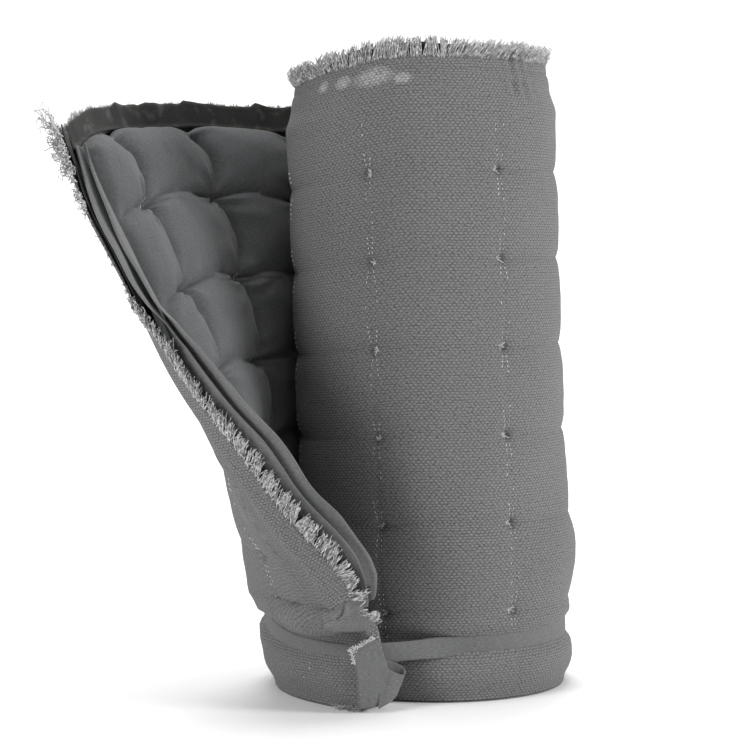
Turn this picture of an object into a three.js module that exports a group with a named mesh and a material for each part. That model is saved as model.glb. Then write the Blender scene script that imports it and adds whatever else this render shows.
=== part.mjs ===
import * as THREE from 'three';

// A long tufted sun lounger pad, rolled up and standing on one long side. Its free short end
// peels away from the roll towards the top, and a flat tie holds the roll near the floor.
// Millimetres, +Z up, the front towards -Y and the peeled end towards -X.

// The padded body
const PAD_WIDTH = 598; // between the two long seams, upright in the roll
const PAD_FOOT = 2; // height of the lower long seam over the floor
const PUFF_HALF = 17.5; // half the thickness at the crown of a puff
const SEAM_HALF = 5; // half the thickness where the edges are sewn shut
const EDGE_ROUND = 40; // depth over which an edge draws in
const TUFT_COLUMNS = 16; // along the pad
const TUFT_ROWS = 6; // across the pad
// How deep the tufting draws in each face at a tuft and in the channels from tuft to tuft
const OUTER_TUFTING = { tuft: 6, row: 3.6, column: 2.4 };
const INNER_TUFTING = { tuft: 12.5, row: 10, column: 9 };
// How far a pit and the channels spread, as shares of the spacing of the tufts
const PIT_REACH = { column: 0.36, row: 0.7 };
const CHANNEL_REACH = { column: 0.25, row: 0.5 };

// The roll: a centreline spiral that turns counterclockwise as it widens. Angle 0 is +X.
const PITCH = 38;
const RIGHT_RADIUS = 126.5; // centreline radius where the last turn crosses angle 0
const RIGHT_COLUMN = 10.5; // place along the pad, in tuft columns, of that crossing
const ROLLED_SPACING = 116; // of tuft columns, along the centreline
const END_ANGLE = rad(243); // of the free end where the tie holds it
const LAYER_BULGE = 8; // how far the last, loose layer stands off the roll
const LEAN = Math.tan(rad(2)); // the roll leans towards -X
const LEFT_DROP = 24; // how much lower the top edge is on the left side
const LEFT_REACH = 150;

// The peeled end
const PEEL_COLUMN = 11.75; // where the last layer comes loose, in tuft columns
const PEEL_LENGTH = 561; // from there to the free end
const PEEL_FOOT = 0.125; // share of the width that the tie still holds
const PEEL_POWER = 0.82;
const TOP_LEAVE_ANGLE = rad(103); // where the upper edge leaves the roll
const LEAVE_SOFTNESS = rad(12);
const REST_CURL = 0.473; // share of the roll's curve left in the peeled cloth
// Above the tie the cloth leaves earlier and curls more, which makes a belly; higher up its
// free end flares outwards again
const BELLY = { width: 89.5, reach: 179.5, leave: rad(84.3), curl: 0.834 };
const FLARE = { width: 376, reach: 88.5, turn: rad(4.9), from: 0.52, over: 0.22 };
const HUMP_FOOT = { width: 74, reach: 52 }; // the tie holds both off below this
const CORNER_STRETCH = 0.121;
const PEEL_SLUMP = 27;
const SLUMP_REACH = 0.45; // share of the peel's length over which it slumps
const LEAST_CLIMB = 0.3; // share of its width that a row climbs where it slants most

// Cloth borders outside the seams
const BORDER = 22;
const END_BORDER = 25;
const FRINGE = 20;
const SHORT_STRAND = 0.72; // of the comb's uneven teeth
const CLOTH = 2.5; // coarse outer cloth
const LINING = 1.4;
const FACING = 1.6;
const COMB = 2.4;
const SEAM_GAP = 0.8;
const END_GAP = 2.2;
const BORDER_OFFSET = 9; // outwards from the centre surface
const LINING_DEPTH = 3.4; // of the lining inside the border
const TOP_SLANT = 0.08; // how far the upper border leans inwards, per height
const FOOT_CLOTH = 1.6;
const FOOT_FOLD = 27; // width of the border folded under the roll
const FOOT_STRAND = 14; // how far the lower fringe sticks out
const FOOT_STATIONS = 2; // how many stations from the free end it shows on
const FACING_TURN = rad(4);
const CORE_TURN = rad(35); // of the inner short end's border, into the core
const CORE_OFFSET = 4;

// The tie
const TIE_LOW = 46;
const TIE_HIGH = 66;
const TIE_TROUGH = [40, 70]; // rows between which the padding is squeezed flat
const TIE_SINK = 6;
const TIE_FIRST_COLUMN = 9; // where the tie meets the roll past the free end
const TIE_LEAD = 0.5; // of a column, how much earlier the squeezed trough starts
const TIE_THICKNESS = 1.6;
const TIE_CLEARANCE = 1.5;

// The roll's axis on the floor, measured from the middle of the footprint
const AXIS = { x: 109.985, y: 52.36 };

function rad(degrees) {
  return THREE.MathUtils.degToRad(degrees);
}

function ease(t) {
  return THREE.MathUtils.smoothstep(t, 0, 1);
}

// Value at x in a table of rows, each { at, value }, in rising order of at
function fromTable(table, x) {
  const last = table[table.length - 1];
  const upper = table.findIndex((row) => row.at >= x);
  if (upper === 0) return table[0].value;
  if (upper < 0) return last.value;
  const low = table[upper - 1];
  const high = table[upper];
  return THREE.MathUtils.mapLinear(x, low.at, high.at, low.value, high.value);
}

// ---- The centre surface ----

function spiralRadius(angle) {
  return RIGHT_RADIUS + (PITCH * angle) / (2 * Math.PI);
}

function spiralLength(angle) {
  return RIGHT_RADIUS * angle + (PITCH * angle * angle) / (4 * Math.PI);
}

// Angle of the rolled pad at a place along it, counted in tuft columns
function rollAngle(column) {
  const outerSpacing = spiralLength(END_ANGLE) / (TUFT_COLUMNS - RIGHT_COLUMN);
  const past = column - RIGHT_COLUMN;
  const length = past * (past < 0 ? ROLLED_SPACING : outerSpacing);
  const radius = Math.sqrt(RIGHT_RADIUS ** 2 + (PITCH * length) / Math.PI);
  return ((radius - RIGHT_RADIUS) * 2 * Math.PI) / PITCH;
}

// How much of the peel a row across the pad takes part in, from 0 at the tie to 1 at the top
function openness(width) {
  const share = (width / PAD_WIDTH - PEEL_FOOT) / (1 - PEEL_FOOT);
  return Math.max(0, share) ** PEEL_POWER;
}

// Share of a belly or flare that a row across the pad takes part in
function hump({ width, reach }, at) {
  return Math.exp(-(((at - width) / reach) ** 2)) * ease((at - HUMP_FOOT.width) / HUMP_FOOT.reach);
}

function peelShare(column) {
  return THREE.MathUtils.clamp((column - PEEL_COLUMN) / (TUFT_COLUMNS - PEEL_COLUMN), 0, 1);
}

// Plan position of one row across the pad at each of the given columns
function planCurve(width, columns) {
  const open = openness(width);
  const belly = hump(BELLY, width);
  const leave = END_ANGLE - (END_ANGLE - TOP_LEAVE_ANGLE) * open - BELLY.leave * belly;
  const curl = REST_CURL * open + BELLY.curl * belly;
  const flare = FLARE.turn * hump(FLARE, width);
  const steps = 6;
  const at = new THREE.Vector2();
  return columns.map((column, index) => {
    if (column <= PEEL_COLUMN) {
      const angle = rollAngle(column);
      at.set(Math.cos(angle), Math.sin(angle)).multiplyScalar(spiralRadius(angle));
      return at.clone();
    }
    const from = columns[index - 1];
    const stride = (column - from) / steps;
    for (let step = 0; step < steps; step++) {
      const middle = from + (step + 0.5) * stride;
      const turn = rollAngle(middle);
      const past = (turn - leave) / LEAVE_SOFTNESS;
      const loose = 1 / (1 + Math.exp(-past));
      const overshoot = LEAVE_SOFTNESS * Math.log(1 + Math.exp(past));
      const flared = flare * ease((peelShare(middle) - FLARE.from) / FLARE.over);
      const heading = turn - (1 - curl) * overshoot - flared;
      const bulge = LAYER_BULGE * Math.sin(Math.PI * peelShare(middle));
      const swept = rollAngle(middle + stride / 2) - rollAngle(middle - stride / 2);
      const rolled = (spiralRadius(turn) + bulge) * swept;
      const free = (PEEL_LENGTH * stride) / (TUFT_COLUMNS - PEEL_COLUMN);
      const length = THREE.MathUtils.lerp(rolled, free, loose);
      at.x -= Math.sin(heading) * length;
      at.y += Math.cos(heading) * length;
    }
    return at.clone();
  });
}

// Grid of centre points [column][row]: each row climbs by what its slant leaves of its width
function centreGrid(columns, widths) {
  const plans = widths.map((width) => planCurve(width, columns));
  return columns.map((column, i) => {
    const share = peelShare(column);
    const stretch = 1 + CORNER_STRETCH * share * share;
    let climb = 0;
    return widths.map((width, j) => {
      const here = plans[j][i];
      if (j > 0) {
        const rise = (width - widths[j - 1]) * stretch;
        const left = rise * rise - here.distanceToSquared(plans[j - 1][i]);
        climb += Math.sqrt(Math.max(left, (LEAST_CLIMB * rise) ** 2));
      }
      const slump = (PEEL_SLUMP * ease(share / SLUMP_REACH) * width) / PAD_WIDTH;
      return new THREE.Vector3(here.x, here.y, PAD_FOOT + climb - slump);
    });
  });
}

function neighbourStep(list, index, read) {
  const after = read(list[Math.min(index + 1, list.length - 1)]);
  const before = read(list[Math.max(index - 1, 0)]);
  return after.clone().sub(before).normalize();
}

// Each station of the centre surface with its directions along, up and outwards
function framesOf(grid) {
  return grid.map((line, i) =>
    line.map((point, j) => {
      const along = neighbourStep(grid, i, (other) => other[j]);
      const up = neighbourStep(line, j, (other) => other);
      const out = along.clone().cross(up).normalize();
      return { point, along, up, out };
    }),
  );
}

// A point off a frame: so far along, up and outwards
function off(frame, along, up, out) {
  return frame.point
    .clone()
    .addScaledVector(frame.along, along)
    .addScaledVector(frame.up, up)
    .addScaledVector(frame.out, out);
}

// ---- Solids from grids ----

// The roll's lean and the drop of its left side, applied to every finished point
function settle(point) {
  const drop = (LEFT_DROP * ease(-point.x / LEFT_REACH) * point.z) / PAD_WIDTH;
  const z = point.z - drop;
  return [point.x - LEAN * z + AXIS.x, point.y + AXIS.y, z];
}

// Closed body between two grids [i][j] of points; outer lies on the side of i-direction x j-direction
function bodyBetween(outer, inner, ring = false) {
  const iCount = outer.length;
  const jCount = outer[0].length;
  const positions = [outer, inner].flat(2).flatMap(settle);
  const faces = [];
  const outerAt = (i, j) => (i % iCount) * jCount + j;
  const innerAt = (i, j) => iCount * jCount + outerAt(i, j);
  const quad = (a, b, c, d) => faces.push(a, b, c, a, c, d);
  const iSpans = ring ? iCount : iCount - 1;
  const top = jCount - 1;
  for (let i = 0; i < iSpans; i++) {
    for (let j = 0; j < top; j++) {
      quad(outerAt(i, j), outerAt(i + 1, j), outerAt(i + 1, j + 1), outerAt(i, j + 1));
      quad(innerAt(i, j), innerAt(i, j + 1), innerAt(i + 1, j + 1), innerAt(i + 1, j));
    }
    quad(innerAt(i, 0), innerAt(i + 1, 0), outerAt(i + 1, 0), outerAt(i, 0));
    quad(outerAt(i, top), outerAt(i + 1, top), innerAt(i + 1, top), innerAt(i, top));
  }
  if (!ring) {
    const end = iCount - 1;
    for (let j = 0; j < top; j++) {
      quad(innerAt(0, j), outerAt(0, j), outerAt(0, j + 1), innerAt(0, j + 1));
      quad(outerAt(end, j), innerAt(end, j), innerAt(end, j + 1), outerAt(end, j + 1));
    }
  }
  const geometry = new THREE.BufferGeometry();
  geometry.setAttribute('position', new THREE.Float32BufferAttribute(positions, 3));
  geometry.setIndex(faces);
  geometry.computeVertexNormals();
  return geometry;
}

// Cloth of even thickness on a grid [i][j] of { point, out }
function sheet(grid, thickness, ring = false) {
  const face = (side) =>
    grid.map((line) =>
      line.map(({ point, out }) => point.clone().addScaledVector(out, (side * thickness) / 2)),
    );
  return bodyBetween(face(1), face(-1), ring);
}

// ---- The pieces ----

function evenSteps(from, to, count) {
  return Array.from({ length: count }, (_, k) => from + ((to - from) * k) / count);
}

const COLUMNS = [
  ...evenSteps(0, 5, 30),
  ...evenSteps(5, PEEL_COLUMN, 27),
  ...evenSteps(PEEL_COLUMN, TUFT_COLUMNS, 17),
  TUFT_COLUMNS,
];
const ROW_SPACING = PAD_WIDTH / (TUFT_ROWS + 1);
const WIDTHS = [
  0,
  12,
  34,
  ...TIE_TROUGH,
  ...evenSteps(ROW_SPACING, PAD_WIDTH - ROW_SPACING / 2, 11),
  PAD_WIDTH - ROW_SPACING / 2,
  PAD_WIDTH - 12,
  PAD_WIDTH,
];
const FRAMES = framesOf(centreGrid(COLUMNS, WIDTHS));
const LAST = COLUMNS.length - 1;
const TOP = WIDTHS.length - 1;
const TIE_ROW = WIDTHS.indexOf(TIE_TROUGH[0]);

// How deep the tufting pulls a face in, at a tuft and along the channels
function tuftDepth(tufting, column, width) {
  const across = width / ROW_SPACING;
  const rowDistance = Math.abs(across - THREE.MathUtils.clamp(Math.round(across), 1, TUFT_ROWS));
  const columnDistance = Math.abs(column - Math.floor(column) - 0.5);
  const fade = (distance, reach) => Math.max(0, 1 - distance / reach);
  return Math.max(
    tufting.tuft * fade(columnDistance, PIT_REACH.column) * fade(rowDistance, PIT_REACH.row),
    tufting.column * fade(columnDistance, CHANNEL_REACH.column),
    tufting.row * fade(rowDistance, CHANNEL_REACH.row),
  );
}

// Half thickness of the filled body before tufting: crowned, and drawn in at its four edges
function crown(column, width) {
  const fromSide = Math.min(width, PAD_WIDTH - width);
  const fromEnd = Math.min(column, TUFT_COLUMNS - column) * ROLLED_SPACING;
  const inFromEdge = 1 - Math.min(1, Math.min(fromSide, fromEnd) / EDGE_ROUND);
  return SEAM_HALF + (PUFF_HALF - SEAM_HALF) * Math.sqrt(1 - inFromEdge * inFromEdge);
}

function padBody() {
  const face = (side, tufting) =>
    FRAMES.map((line, i) =>
      line.map((frame, j) => {
        const column = COLUMNS[i];
        const width = WIDTHS[j];
        let half = crown(column, width) - tuftDepth(tufting, column, width);
        if (side > 0 && TIE_TROUGH.includes(width) && column > TIE_FIRST_COLUMN - TIE_LEAD) {
          half = Math.min(half, PUFF_HALF - TIE_SINK);
        }
        return off(frame, 0, 0, side * Math.max(half, SEAM_HALF));
      }),
    );
  return bodyBetween(face(1, OUTER_TUFTING), face(-1, INNER_TUFTING));
}

const END_ROW = WIDTHS.indexOf(ROW_SPACING); // the first row above the tie
const LINING_ROW = END_ROW + 1;

// How the border beyond the free end turns inwards: onto the roll at the tie, less higher up
const END_TURN = [
  { at: 75, value: rad(66) },
  { at: 100, value: rad(48) },
  { at: 300, value: rad(46) },
  { at: 400, value: rad(38) },
  { at: 450, value: rad(20) },
  { at: 560, value: rad(0) },
];
// Higher up the border also bends inwards at a crease, some way from the free end
const CREASE = 19;
const CREASE_BEND = [
  { at: 400, value: 0 },
  { at: 450, value: rad(40) },
  { at: 560, value: rad(50) },
];
// The lining reaches past the border low down, and ends with it higher up
const LINING_REACH = [
  { at: 230, value: 40 },
  { at: 330, value: END_BORDER },
];

// Frame so far beyond the free end on a turned line that starts at an offset from the centre
// surface. A layer of some depth lies that much inside the line.
function beyondEnd(frame, width, distance, offset, depth = 0, extraTurn = 0) {
  const turn = fromTable(END_TURN, width) + extraTurn;
  const bend = fromTable(CREASE_BEND, width);
  const heading = (angle) => off(frame, Math.cos(angle), 0, -Math.sin(angle)).sub(frame.point);
  const lead = heading(turn);
  const tail = heading(turn + bend);
  const inside = lead.clone().cross(frame.up).normalize();
  const inner = distance < CREASE ? 0 : depth * Math.tan(bend / 2);
  const reach = Math.min(distance, CREASE) + depth * Math.max(0, Math.tan(turn)) - inner;
  const point = off(frame, 0, 0, offset)
    .addScaledVector(lead, reach)
    .addScaledVector(inside, -depth)
    .addScaledVector(tail, Math.max(0, distance - CREASE));
  const bent = distance < CREASE ? 0 : distance > CREASE ? bend : bend / 2;
  const along = heading(turn + bent);
  return { point, along, up: frame.up, out: along.clone().cross(frame.up).normalize() };
}

// Strip above the upper seam from one height to another, on every station of the roll
function topStrip(low, high, offset, heightAt = () => high) {
  return FRAMES.map((line, i) => {
    const frame = line[TOP];
    const at = (height) => off(frame, 0, height, offset - TOP_SLANT * height);
    return [low, heightAt(i)].map((height) => ({ point: at(height), out: frame.out }));
  });
}

// The frame at the upper corner of the free end, carried up along the border
function overCorner(height) {
  const frame = FRAMES[LAST][TOP];
  return { ...frame, point: off(frame, 0, height, -TOP_SLANT * height) };
}

// Strip beyond the free end, on every row from one row up, and some way over the upper seam.
// Its edges are { reach, depth }, and reach may depend on the row.
function endStrip(edges, firstRow, overTop, offset = BORDER_OFFSET, extraTurn = 0) {
  const rows = [];
  for (let j = firstRow; j <= TOP; j++) rows.push({ frame: FRAMES[LAST][j], width: WIDTHS[j] });
  if (overTop > 0) rows.push({ frame: overCorner(overTop), width: PAD_WIDTH });
  return edges.map(({ reach, depth }) =>
    rows.map(({ frame, width }, k) => {
      const distance = typeof reach === 'function' ? reach(k) : reach;
      return beyondEnd(frame, width, distance, offset, depth, extraTurn);
    }),
  );
}

function liningReach(row) {
  return fromTable(LINING_REACH, WIDTHS[Math.min(LINING_ROW + row, TOP)]);
}

function strandLength(index) {
  return FRINGE * (index % 2 ? SHORT_STRAND : 1);
}

function topFringe() {
  const foot = BORDER + SEAM_GAP;
  const comb = topStrip(foot, foot, BORDER_OFFSET, (i) => foot + strandLength(i));
  for (const reach of [CREASE, END_BORDER]) {
    const at = (height) => beyondEnd(overCorner(height), PAD_WIDTH, reach, BORDER_OFFSET);
    comb.push([at(foot), at(foot + FRINGE)]);
  }
  return sheet(comb, COMB);
}

// Border cloth folded flat under the roll, which stands on it
function footBorder() {
  const ribbon = FRAMES.map((line) => {
    const frame = line[0];
    const at = (out) => off(frame, 0, 0, out).setZ(FOOT_CLOTH / 2);
    const up = new THREE.Vector3(0, 0, 1);
    return [BORDER_OFFSET, BORDER_OFFSET - FOOT_FOLD].map((out) => ({ point: at(out), out: up }));
  });
  return sheet(ribbon, FOOT_CLOTH);
}

// The few strands of the lower fringe that stick out from under the free end
function footFringe() {
  const root = BORDER_OFFSET + SEAM_GAP;
  const comb = FRAMES.slice(LAST - FOOT_STATIONS).map((line, k) => {
    const tip = root + FOOT_STRAND * (k % 2 ? SHORT_STRAND : 1);
    return [tip, root].map((out) => ({
      point: off(line[0], 0, 0, out).setZ(FOOT_CLOTH),
      out: new THREE.Vector3(0, 0, 1),
    }));
  });
  return sheet(comb, FOOT_CLOTH);
}

// Border and fringe of the inner short end, curled into the core of the roll
function coreStrip(near, far) {
  const top = FRAMES[0][TOP];
  const rows = [...FRAMES[0], { ...top, point: off(top, 0, BORDER, 0) }];
  return [far, near].map((distance) =>
    rows.map((frame) => {
      const inwards = CORE_OFFSET - distance * Math.sin(CORE_TURN);
      return { point: off(frame, -distance * Math.cos(CORE_TURN), 0, inwards), out: frame.out };
    }),
  );
}

// ---- The tie ----

// The band's line: on the squeezed padding of the last turn, then straight across to its start
function bandFrames() {
  const first = COLUMNS.findIndex((column) => column >= TIE_FIRST_COLUMN);
  const offset = PUFF_HALF - TIE_SINK + TIE_CLEARANCE;
  return FRAMES.slice(first).map((line) => {
    const frame = line[TIE_ROW];
    return { ...frame, point: off(frame, 0, 0, offset) };
  });
}

function tieBand() {
  const ring = bandFrames().map(({ point, out }) =>
    [TIE_LOW, TIE_HIGH].map((z) => ({ point: point.clone().setZ(z), out })),
  );
  return sheet(ring, TIE_THICKNESS, true);
}

// Frame of the knot: on the band just past the free end, facing the front
function knotFrame() {
  const band = bandFrames();
  const end = band[band.length - 1].point;
  const across = band[0].point.clone().sub(end).setZ(0).normalize();
  const up = new THREE.Vector3(0, 0, 1);
  const out = across.clone().cross(up);
  const point = end.clone().setZ((TIE_LOW + TIE_HIGH) / 2);
  return { point, along: across, up, out };
}

// Cloth hung off the knot: rows of half width, place along, height and distance outwards
function hungCloth(profile, thickness) {
  const knot = knotFrame();
  const edge = (side) =>
    profile.map(({ half, along, height, out }) => ({
      point: off(knot, along + side * half, height, out),
      out: knot.out,
    }));
  return sheet([edge(-1), edge(1)], thickness);
}

function tieTail() {
  return hungCloth(
    [
      { half: 12, along: 0, height: -51, out: 13 },
      { half: 15, along: 1, height: -34, out: 15 },
      { half: 16, along: 1, height: -18, out: 14.5 },
      { half: 13, along: 2, height: -4, out: 12 },
      { half: 10, along: 3, height: 12, out: 12 },
    ],
    2,
  );
}

// The lump where the tie crosses itself, between the band and the tail
function tieKnot() {
  const knot = knotFrame();
  const ball = new THREE.SphereGeometry(1, 12, 8);
  const half = { along: 12, height: 10, out: 4.2 };
  const centre = { along: 2, out: 5.8 };
  const shape = new THREE.Matrix4().makeBasis(
    knot.along.clone().multiplyScalar(half.along),
    knot.out.clone().multiplyScalar(-half.out),
    knot.up.clone().multiplyScalar(half.height),
  );
  shape.setPosition(off(knot, centre.along, 0, centre.out));
  ball.applyMatrix4(shape);
  ball.deleteAttribute('uv');
  ball.deleteAttribute('normal');
  const places = ball.getAttribute('position');
  for (let k = 0; k < places.count; k++) {
    places.setXYZ(k, ...settle(new THREE.Vector3().fromBufferAttribute(places, k)));
  }
  ball.computeVertexNormals();
  return ball;
}

// The folded loop that sticks out to the right under the knot, its fold at the far side
function tieLoop() {
  const knot = knotFrame();
  const middle = -24;
  const path = [
    { along: 20, out: 5, half: 13 },
    { along: 32, out: 4.4, half: 12 },
    { along: 41, out: 5.6, half: 9 },
    { along: 44, out: 8.2, half: 8 },
    { along: 40, out: 10.4, half: 9 },
    { along: 30, out: 11, half: 12 },
    { along: 20, out: 10.4, half: 14 },
  ];
  const grid = path.map(({ along, out, half }, k) => {
    const next = path[Math.min(k + 1, path.length - 1)];
    const before = path[Math.max(k - 1, 0)];
    const step = new THREE.Vector3()
      .addScaledVector(knot.along, next.along - before.along)
      .addScaledVector(knot.out, next.out - before.out);
    const normal = step.cross(knot.up).normalize();
    return [-1, 1].map((side) => ({
      point: off(knot, along, middle + side * half, out),
      out: normal,
    }));
  });
  return sheet(grid, FACING);
}

// ---- Assembly ----

const FINISHES = {
  coarse: { color: 0x6b6b6b, roughness: 0.95, metalness: 0 },
  cotton: { color: 0x6f7073, roughness: 0.85, metalness: 0 },
  lining: { color: 0x4c4b4b, roughness: 0.9, metalness: 0 },
  yarn: { color: 0xc2c2c0, roughness: 0.95, metalness: 0 },
  tape: { color: 0x636363, roughness: 0.85, metalness: 0 },
};

const pad = new THREE.Group();

function add(name, finish, geometry) {
  const mesh = new THREE.Mesh(geometry, new THREE.MeshStandardMaterial(FINISHES[finish]));
  mesh.name = name;
  pad.add(mesh);
}

const HEM = BORDER + FRINGE;

const borderEnd = [
  { reach: END_GAP, depth: 0 },
  { reach: CREASE, depth: 0 },
  { reach: END_BORDER, depth: 0 },
];
const fringeEnd = [
  { reach: END_BORDER + END_GAP, depth: 0 },
  { reach: (k) => END_BORDER + END_GAP + strandLength(k), depth: -1 },
];
const liningEnd = [
  { reach: END_GAP, depth: LINING_DEPTH },
  { reach: CREASE, depth: LINING_DEPTH },
  { reach: liningReach, depth: LINING_DEPTH + 1 },
];
const facingA = [
  { reach: END_GAP, depth: 0 },
  { reach: 10, depth: 0 },
  { reach: 17, depth: 0 },
];
const facingB = [
  { reach: END_GAP, depth: 3.4 },
  { reach: 12, depth: 4.4 },
];

add('pad', 'coarse', padBody());
add('border_top', 'coarse', sheet(topStrip(SEAM_GAP, BORDER, BORDER_OFFSET), CLOTH));
add('border_end', 'coarse', sheet(endStrip(borderEnd, 0, BORDER), CLOTH));
add('border_core', 'coarse', sheet(coreStrip(SEAM_GAP, END_BORDER), CLOTH));
add('border_foot', 'coarse', footBorder());
add('lining_top', 'lining', sheet(topStrip(SEAM_GAP, HEM, BORDER_OFFSET - LINING_DEPTH), LINING));
add('lining_end', 'lining', sheet(endStrip(liningEnd, LINING_ROW, HEM), LINING));
add('facing_a', 'cotton', sheet(endStrip(facingA, LINING_ROW, 0, 0, FACING_TURN), FACING));
add('facing_b', 'cotton', sheet(endStrip(facingB, LINING_ROW, 0, 0, FACING_TURN), FACING));
add('fringe_top', 'yarn', topFringe());
add('fringe_end', 'yarn', sheet(endStrip(fringeEnd, END_ROW, BORDER), COMB));
add('fringe_core', 'yarn', sheet(coreStrip(END_BORDER + SEAM_GAP, END_BORDER + FRINGE), COMB));
add('fringe_foot', 'yarn', footFringe());
add('tie_band', 'tape', tieBand());
add('tie_knot', 'tape', tieKnot());
add('tie_tail', 'tape', tieTail());
add('tie_loop', 'tape', tieLoop());

export default pad;
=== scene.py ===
"""A long tufted sun lounger pad, rolled up and standing on one long side.

The roll's centre surface is worked out from a few sizes. Every piece of cloth, thread and
yarn is laid out on it, in millimetres, and turned into metres at the end.
"""

import math

import bpy
import numpy as np
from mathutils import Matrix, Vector


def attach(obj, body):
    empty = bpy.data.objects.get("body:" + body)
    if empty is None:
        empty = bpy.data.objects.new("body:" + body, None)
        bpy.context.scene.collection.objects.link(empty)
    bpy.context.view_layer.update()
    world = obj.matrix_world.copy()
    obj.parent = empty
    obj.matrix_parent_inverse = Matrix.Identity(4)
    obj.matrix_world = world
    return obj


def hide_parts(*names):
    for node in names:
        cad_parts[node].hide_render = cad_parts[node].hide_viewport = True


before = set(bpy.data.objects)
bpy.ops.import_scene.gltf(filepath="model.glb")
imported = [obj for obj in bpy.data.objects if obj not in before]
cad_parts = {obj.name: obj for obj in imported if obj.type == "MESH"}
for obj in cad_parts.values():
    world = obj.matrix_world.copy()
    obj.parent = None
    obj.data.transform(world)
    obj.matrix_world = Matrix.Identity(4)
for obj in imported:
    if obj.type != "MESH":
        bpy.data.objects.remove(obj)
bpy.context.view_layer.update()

MM = 0.001

# ---- Sizes of the pad, its roll, its borders and its tie, in millimetres ----

PAD_WIDTH = 598.0
PAD_FOOT = 2.0
PUFF_HALF = 17.5
EDGE_ROUND = 40.0
TUFT_COLUMNS = 16
TUFT_ROWS = 6
ROW_SPACING = PAD_WIDTH / (TUFT_ROWS + 1)

PITCH = 38.0
RIGHT_RADIUS = 126.5
RIGHT_COLUMN = 10.5
ROLLED_SPACING = 116.0
END_ANGLE = math.radians(243)
LAYER_BULGE = 8.0
LEAN = math.tan(math.radians(2))
LEFT_DROP = 24.0
LEFT_REACH = 150.0

PEEL_COLUMN = 11.75
PEEL_LENGTH = 561.0
PEEL_FOOT = 0.125
PEEL_POWER = 0.82
TOP_LEAVE_ANGLE = math.radians(103)
LEAVE_SOFTNESS = math.radians(12)
REST_CURL = 0.473
BELLY = {"width": 89.5, "reach": 179.5, "leave": math.radians(84.3), "curl": 0.834}
FLARE = {"width": 376.0, "reach": 88.5, "turn": math.radians(4.9), "from": 0.52, "over": 0.22}
HUMP_FOOT = {"width": 74.0, "reach": 52.0}
CORNER_STRETCH = 0.121
PEEL_SLUMP = 27.0
SLUMP_REACH = 0.45
# Least share of its width that each row climbs, and steps to a grid column of the peel
LEAST_CLIMB = 0.3
PEEL_STEPS = 2

BORDER = 22.0
END_BORDER = 25.0
FRINGE = 20.0
CLOTH = 2.0
LINING = 1.2
FACING = 1.4
SEAM_GAP = 0.8
END_GAP = 2.2
BORDER_OFFSET = 9.0
LINING_DEPTH = 3.4
TOP_SLANT = 0.08
FOOT_CLOTH = 1.6
FOOT_FOLD = 27.0
CORE_TURN = math.radians(35)
CORE_OFFSET = 4.0

TIE_LOW = 46.0
TIE_HIGH = 66.0
TIE_SINK = 6.0
TIE_FIRST_COLUMN = 9.0
TIE_CLEARANCE = 1.5
TIE_THICKNESS = 1.6

# ---- Sizes of the finer shapes and of the threads, in millimetres ----

# The tie climbs over the left side, stands off the skin, and squeezes a band of it
TIE_RISE = {"column": 14.1, "reach": 0.75, "height": 22.0}
TIE_STAND = 0.9
TIE_SQUEEZE = 13.0
TIE_STEPS = 300
# Tuft columns from which stitches show on the outer face and thread ends on the inner one
FIRST_SHOWN = 7
FIRST_INSIDE = 12
# How the outer skin stands off the centre at the seams and the crowns, and turns over a rim
AT_SEAM = 10.15
CROWN = PUFF_HALF + 1.5
SHOULDER = 26.0
RIM = 2.3
# The row from which places on the outer cloth are counted
FLAT_ROW = 85.0
# Lines along the upper border and the free end's, from their seams outwards
BORDER_LINES = np.array([2.5, 5.5, 8.5, 10.7, 12, 13.3, 15.5, 19, 22.2])
END_LINES = np.array([1.5, 4, 7, 10, 13, 16, 19, 22, 25.2])
# The pressed line of the upper hem, and the small creases that gather it, along the pad
HEM = {"line": 12.0, "reach": 1.3, "depth": 1.1}
GATHER = {"at": 1131.0, "reach": 18.0, "height": 2.0, "wave": 2.3}
# Fullness low on the right and about the tie on the left: column, reach, height, reach, swell
LOW_SWELLS = (10.3, 1.2, 138, 42, 8.0), (14.2, 0.7, 62, 34, 7.0)
# Where the upper lining and fringe change from the roll's size to the loose layer's
FLAP_START, FLAP_BLEND = 1440, 80

# Beyond the free end, at rising heights: degrees it turns inwards at the seam and bends
# again past its crease, and how far the lining and the facings reach
END_TURN = (75, 66), (100, 52), (300, 52), (400, 42), (450, 12), (520, 4), (560, 0)
CREASE_BEND = (400, 0), (450, 12), (560, 12)
LINING_REACH = (230, 40), (330, 25)
FACING_REACH = (85, 26), (140, 35), (200, 34), (300, 38), (380, 38), (450, 36), (520, 30), (598, 12)
# The facings' extra turn in degrees, and where they start from the centre surface
FACING_TURN = (85, -2), (430, -2), (480, -12), (598, -12)
FACING_START = (150, -4), (200, -8), (430, -8), (470, -5), (598, -5)
# Rows above the gathered part where the lining and the facings begin
LINING_FIRST, FACING_FIRST = 104, 116
# Below a height the free end's rows are evened out, over a reach and with a fade
EVENED = {"below": 180, "fade": 60, "reach": 30}
# How much the upper corner of the free end stands up, a millimetre of reach
CORNER_LIFT = 0.55
# How far beyond the free end its bend is worked out, a millimetre at a time
FURTHEST = 64
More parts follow.
